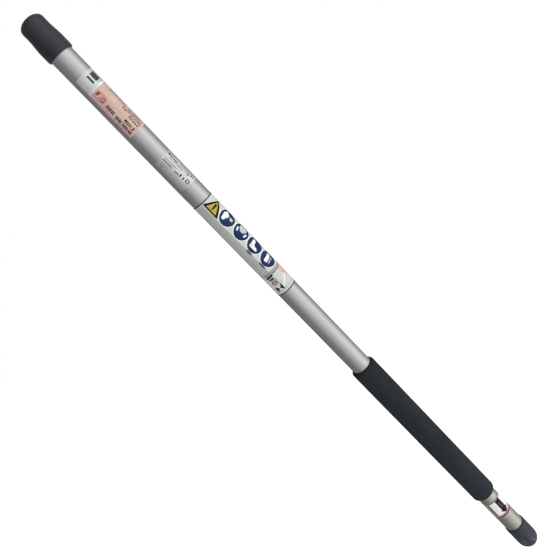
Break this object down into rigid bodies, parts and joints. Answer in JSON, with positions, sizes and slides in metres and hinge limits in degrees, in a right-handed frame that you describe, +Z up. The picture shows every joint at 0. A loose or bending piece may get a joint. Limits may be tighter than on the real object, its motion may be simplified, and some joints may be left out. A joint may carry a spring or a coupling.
{
  "type": "telescoping pole saw pole",
  "caption": "Round aluminium telescoping pole with a foam grip, wrap labels and pull-off vinyl end caps; the inner stage slides out and locks by a twist.",
  "frame": {"origin": "centre of the butt cap's closed end", "axes": "+Z up the pole from the butt to the head end, -Y the side that the labels face, +X to the right of it"},
  "size_m": [0.0324, 0.0324, 0.9025],
  "materials": {
    "satin_tube": "satin drawn and anodised, fine lengthwise streaks",
    "inner_stage": "satin drawn",
    "turned_aluminium": "machined",
    "foam": "matte closed-cell foam, fine grain",
    "vinyl": "glossy dip-moulded vinyl",
    "label_white": "laminated printed film",
    "label_salmon": "laminated printed film",
    "label_pale": "printed film",
    "nylon_black": "moulded nylon",
    "nylon_natural": "moulded nylon",
    "steel": "zinc plated",
    "o_ring": "matte"
  },
  "bodies": {
    "pole": {"outer_tube": "satin_tube", "foam_grip": "foam", "pictogram_label": "label_white", "data_plate_label": "label_pale", "stock_label": "label_salmon", "depth_mark_label": "label_white", "mouth_bush": "nylon_black", "bush_rivets": "turned_aluminium", "butt_plug": "nylon_black", "butt_plug_pin": "steel"},
    "lock_carriage": {"expander_sleeve": "nylon_natural", "drag_ring": "o_ring"},
    "lock_cone": {"cone_nut": "nylon_natural"},
    "inner_stage": {"inner_tube": "inner_stage", "head_ferrule": "turned_aluminium", "ferrule_pins": "steel", "rear_glide": "nylon_natural", "lock_core": "nylon_black", "lock_core_pin": "steel", "lock_stud": "steel", "lock_nut": "steel", "lock_washer": "steel"},
    "head_end_cap": {"head_cap": "vinyl"},
    "butt_end_cap": {"butt_cap": "vinyl"}
  },
  "joints": [
    {"name": "tube_extend", "type": "slide", "parent": "pole", "child": "lock_carriage", "axis": [0, 0, 1], "range_m": [0, 0.649]},
    {"name": "lock_twist", "type": "hinge", "parent": "lock_carriage", "child": "inner_stage", "pos_m": [0, 0, 0.1], "axis": [0, 0, 1], "range_deg": [0, 360]},
    {"name": "cone_travel", "type": "slide", "parent": "lock_carriage", "child": "lock_cone", "axis": [0, 0, 1], "range_m": [0, 0.0021]},
    {"name": "head_cap_pull", "type": "slide", "parent": "inner_stage", "child": "head_end_cap", "axis": [0, 0, 1], "range_m": [0, 0.09]},
    {"name": "butt_cap_pull", "type": "slide", "parent": "pole", "child": "butt_end_cap", "axis": [0, 0, -1], "range_m": [0, 0.09]}
  ],
  "couplings": [
    {"joint": "cone_travel", "follows": "lock_twist", "m_per_rad": 0.00031831}
  ]
}
